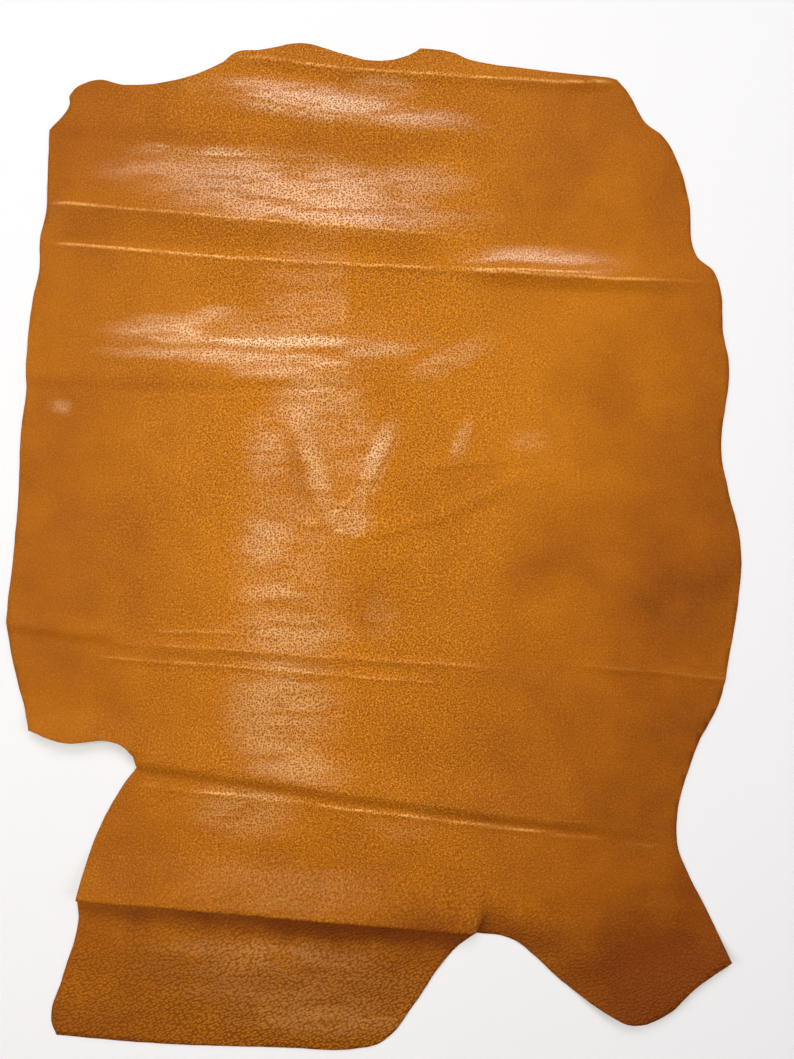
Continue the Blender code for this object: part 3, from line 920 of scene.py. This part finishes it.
def grain_side(looks):
    """The grain: its dye, painted highlights and painted shade, its pits and its polish."""
    material, tree, shader = new_material("leather_grain")
    place = attribute(tree, FLAT_PLACE, "Vector")
    crest, polished, dye_and_shade = (attribute(tree, name, "Fac") for name in (CREST, POLISHED, DYE_AND_SHADE))
    across, up, coarse, lively_and_sheen = skin_zones(tree, place)
    raised, pitted = grain_pattern(tree, place, coarse, polished, looks)
    matt = less(tree, polished, MATT_LOSS)

    # darker toward the tail and right, in the creases and under the tail pleat: partly dye, partly
    # painted shade
    depth = dye_and_shade_depth(tree, place, across, up, dye_and_shade)
    base = mix_colour(tree, depth, looks.back, looks.belly_and_shade)
    shine = patchy_polish(tree, place, polished)
    # the pebble tops and polished places are painted lighter: partly wear, partly a painted
    # highlight
    worn_and_highlight = maths(tree, "MULTIPLY_ADD", depth, -WEAR_BELLY, WEAR_AND_HIGHLIGHT)
    clear_of_dye_and_shade = less(tree, dye_and_shade, WEAR_DARKENED)
    worn_and_highlight = product(tree, raised, worn_and_highlight, clear_of_dye_and_shade, matt, lively_and_sheen, less(tree, coarse, WEAR_COARSE))
    worn_and_highlight = maths(tree, "MULTIPLY_ADD", shine, POLISH_HIGHLIGHT, worn_and_highlight)
    base = mix_colour(tree, worn_and_highlight, base, looks.rubbed_and_highlight)
    # a painted highlight along the sharp crests
    base = mix_colour(tree, crest_line(tree, place, crest, pitted), base, looks.crest)
    # the pits and wide pores are painted darker: partly dye, partly painted shade
    shade = maths(tree, "MULTIPLY_ADD", polished, 1 - SHADE_MATT, SHADE_MATT)
    shade = product(tree, pitted, lively_and_sheen, maths(tree, "MAXIMUM", shade, coarse))
    wide = maths(tree, "MULTIPLY", big_pores(tree, place, polished), SHADE_BIG_PORE)
    base = mix_colour(tree, maths(tree, "MAXIMUM", shade, wide), base, looks.pit)
    tree.links.new(base, shader.inputs["Base Color"])

    relief = maths(tree, "SUBTRACT", maths(tree, "MULTIPLY", raised, matt), pitted)
    strength = mix_value(tree, coarse, FINE_RELIEF, 1.0)
    relief = product(tree, relief, less(tree, crest, CREST_LOSS), strength, lively_and_sheen)
    add_bump(tree, shader, relief, looks.relief)
    streak = vectors(tree, "MULTIPLY", place, STREAK_STRETCH)
    streak = to_either_side(tree, cloud(tree, streak, STREAK_PITCH), STREAK_REACH)
    tree.links.new(maths(tree, "ADD", streak, looks.matt), shader.inputs["Roughness"])
    coat = maths(tree, "MULTIPLY", shine, less(tree, pitted, COAT_PITTED))
    tree.links.new(coat, shader.inputs["Coat Weight"])
    shader.inputs["Coat Roughness"].default_value = looks.gloss
    shader.inputs["Coat IOR"].default_value = COAT_IOR
    shader.inputs["Specular IOR Level"].default_value = GRAIN_SPECULAR
    shader.inputs["Specular Tint"].default_value = GRAIN_TINT
    return material


NAP_PITCH, NAP_DEPTH, NAP_STRENGTH = 0.002, 0.3 * MM, 0.6
NAP_SHARE = 0.5  # the nap's share of the mottling, beside that of wide blotches
BLOTCH_PITCH = 0.06
FLESH_DARK, CUT_DARK = 0.72, 0.6  # the darkest colour, as a share of the paler one
FLESH_ROUGH, CUT_ROUGH = 0.95, 0.85
FLESH_SHEEN = 0.3
FIBRE_PITCH, FIBRE_DEPTH, FIBRE_STRENGTH = 0.0012, 0.2 * MM, 0.7


def flesh_side(looks):
    """The suede-like underside, with its nap."""
    material, tree, shader = new_material("leather_flesh")
    place = add_node(tree, "ShaderNodeTexCoord").outputs["Object"]
    nap = cloud(tree, place, NAP_PITCH, detail=4.0, rough=0.7)
    blotch = cloud(tree, place, BLOTCH_PITCH, detail=3.0)
    blotch = maths(tree, "MULTIPLY", blotch, 1 - NAP_SHARE)
    mixed = maths(tree, "MULTIPLY_ADD", nap, NAP_SHARE, blotch)
    dark = tuple(FLESH_DARK * part for part in looks.flesh)
    base = mix_colour(tree, mixed, dark, looks.flesh)
    tree.links.new(base, shader.inputs["Base Color"])
    add_bump(tree, shader, nap, NAP_DEPTH, NAP_STRENGTH)
    shader.inputs["Roughness"].default_value = FLESH_ROUGH
    shader.inputs["Sheen Weight"].default_value = FLESH_SHEEN
    return material


def cut_edge(looks):
    """The raw edge, mottled by its fibres."""
    material, tree, shader = new_material("leather_cut")
    place = add_node(tree, "ShaderNodeTexCoord").outputs["Object"]
    fibre = cloud(tree, place, FIBRE_PITCH, detail=3.0, rough=0.6)
    dark = tuple(CUT_DARK * part for part in looks.cut)
    tree.links.new(mix_colour(tree, fibre, dark, looks.cut), shader.inputs["Base Color"])
    add_bump(tree, shader, fibre, FIBRE_DEPTH, FIBRE_STRENGTH)
    shader.inputs["Roughness"].default_value = CUT_ROUGH
    return material


# ---- the operators ------------------------------------------------------------------


class OBJECT_OT_lay_hide(bpy.types.Operator):
    """Makes the hide as one folded sheet with its grain, flesh side and cut edge"""

    bl_idname = "object.lay_hide"
    bl_label = "Lay the hide"

    def execute(self, context):
        sizes, looks = context.scene.hide_sizes, context.scene.leather_looks
        laid = bpy.data.objects.new("hide_flat", flat_sheet(sizes))
        context.scene.collection.objects.link(laid)
        folds = laid.modifiers.new("folds", "NODES")
        folds.node_group = lay_tree()
        grain, flesh, cut = grain_side(looks), flesh_side(looks), cut_edge(looks)
        set_input(folds, "Finish", grain)
        for name in LAY_LENGTHS:
            set_input(folds, name, getattr(sizes, name.lower()))
        wall = laid.modifiers.new("thickness", "SOLIDIFY")
        wall.thickness = sizes.thickness
        wall.offset = 1.0
        wall.use_even_offset = True
        for finish in (grain, flesh, cut):
            laid.data.materials.append(finish)
        wall.material_offset = 1
        wall.material_offset_rim = 2
        graph = context.evaluated_depsgraph_get()
        mesh = bpy.data.meshes.new_from_object(laid.evaluated_get(graph))
        bpy.data.objects.remove(laid, do_unlink=True)
        hide = bpy.data.objects.new("leather_hide", mesh)
        context.scene.collection.objects.link(hide)
        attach(hide, BODY)
        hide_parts(NODE)
        return {"FINISHED"}


WARM, PEACH, AMBER = (1.0, 0.86, 0.5), (1.0, 0.9, 0.66), (1.0, 0.66, 0.22)
SOFT, WHITE = (1.0, 0.97, 0.88), (1.0, 1.0, 1.0)
FLOOR_PAINT = (0.70, 0.735, 0.885)
FLOOR_ROUGH, FLOOR_SPECULAR = 0.6, 0.2
LIGHTS = (  # name, place, width, height, the power's name and this light's share, tint
    ("window", (-0.27, 2.2, 1.95), 0.9, 0.5, "window_power", 1.0, WARM),
    ("side window", (0.5, 2.2, 1.95), 0.4, 0.4, "window_power", 0.4, WHITE),
    ("ceiling lamp", (-0.34, -0.2, 2.4), 0.72, 2.5, "lamp_power", 1.2, WARM),
    ("chest lamp", (-0.55, 0.82, 2.4), 1.3, 0.34, "lamp_power", 1.0, PEACH),
    ("foot lamp", (-0.3, -1.8, 2.4), 0.9, 0.8, "lamp_power", 0.3, AMBER),
    ("sky", (0.2, 5.4, 4.1), 5.4, 2.8, "sky_power", 1.0, SOFT),
    ("left wall", (-4.8, 0.3, 3.6), 3.0, 3.0, "wall_power", 1.0, WHITE),
    ("right wall", (4.8, 0.1, 3.6), 3.0, 3.0, "wall_power", 0.7, WHITE),
)


class OBJECT_OT_set_stage(bpy.types.Operator):
    """Makes the pale floor, the soft lights and the camera above the hide"""

    bl_idname = "object.set_stage"
    bl_label = "Set the stage"

    def execute(self, context):
        sizes = context.scene.stage_sizes
        self.make_floor(context, sizes)
        self.make_lights(context, sizes)
        self.make_camera(context, sizes)
        return {"FINISHED"}

    def make_floor(self, context, sizes):
        bpy.ops.mesh.primitive_plane_add(size=sizes.floor_width)
        floor = context.active_object
        floor.name = "floor"
        material, _, shader = new_material("floor_paint")
        shader.inputs["Base Color"].default_value = (*FLOOR_PAINT, 1.0)
        shader.inputs["Roughness"].default_value = FLOOR_ROUGH
        shader.inputs["Specular IOR Level"].default_value = FLOOR_SPECULAR
        floor.data.materials.append(material)

    def make_lights(self, context, sizes):
        for name, place, width, height, power, share_of_power, tint in LIGHTS:
            light = bpy.data.lights.new(name, "AREA")
            light.shape = "RECTANGLE"
            light.size, light.size_y = width, height
            light.energy = share_of_power * getattr(sizes, power)
            light.color = tint
            lamp = bpy.data.objects.new(name, light)
            lamp.location = place
            to_hide = -lamp.location
            lamp.rotation_euler = to_hide.to_track_quat("-Z", "Y").to_euler()
            context.scene.collection.objects.link(lamp)
        world = bpy.data.worlds.new("room")
        world.use_nodes = True
        background = world.node_tree.nodes["Background"]
        background.inputs["Color"].default_value = (*WHITE, 1.0)
        background.inputs["Strength"].default_value = sizes.room_light
        context.scene.world = world
        context.scene.view_settings.view_transform = "Standard"

    def make_camera(self, context, sizes):
        lens = bpy.data.cameras.new("camera")
        half_angle = math.atan(sizes.frame_height / 2 / sizes.camera_height)
        lens.lens = lens.sensor_width / 2 / math.tan(half_angle)
        camera = bpy.data.objects.new("camera", lens)
        camera.location = (sizes.camera_x, sizes.camera_y, sizes.camera_height)
        context.scene.collection.objects.link(camera)
        context.scene.camera = camera


class VIEW3D_PT_hide(bpy.types.Panel):
    """Lists the steps and their sizes"""

    bl_idname = "VIEW3D_PT_hide"
    bl_label = "Leather hide"
    bl_space_type = "VIEW_3D"
    bl_region_type = "UI"
    bl_category = "Hide"

    def draw(self, context):
        for operator, group in STEPS:
            box = self.layout.box()
            box.operator(operator)
            for name in group:
                settings = getattr(context.scene, name)
                for setting in settings.bl_rna.properties:
                    if setting.identifier not in {"rna_type", "name"}:
                        box.prop(settings, setting.identifier)


STEPS = (
    (OBJECT_OT_lay_hide.bl_idname, ("hide_sizes", "leather_looks")),
    (OBJECT_OT_set_stage.bl_idname, ("stage_sizes",)),
)
SETTINGS = {
    "hide_sizes": HideSizes,
    "leather_looks": LeatherLooks,
    "stage_sizes": StageSizes,
}
CLASSES = (*SETTINGS.values(), OBJECT_OT_lay_hide, OBJECT_OT_set_stage, VIEW3D_PT_hide)


def register():
    for kind in CLASSES:
        bpy.utils.register_class(kind)
    for name, group in SETTINGS.items():
        setattr(bpy.types.Scene, name, PointerProperty(type=group))


def unregister():
    for name in SETTINGS:
        delattr(bpy.types.Scene, name)
    for kind in reversed(CLASSES):
        bpy.utils.unregister_class(kind)


def main():
    register()
    bpy.ops.object.set_stage()
    bpy.ops.object.lay_hide()


if __name__ == "__main__":
    main()
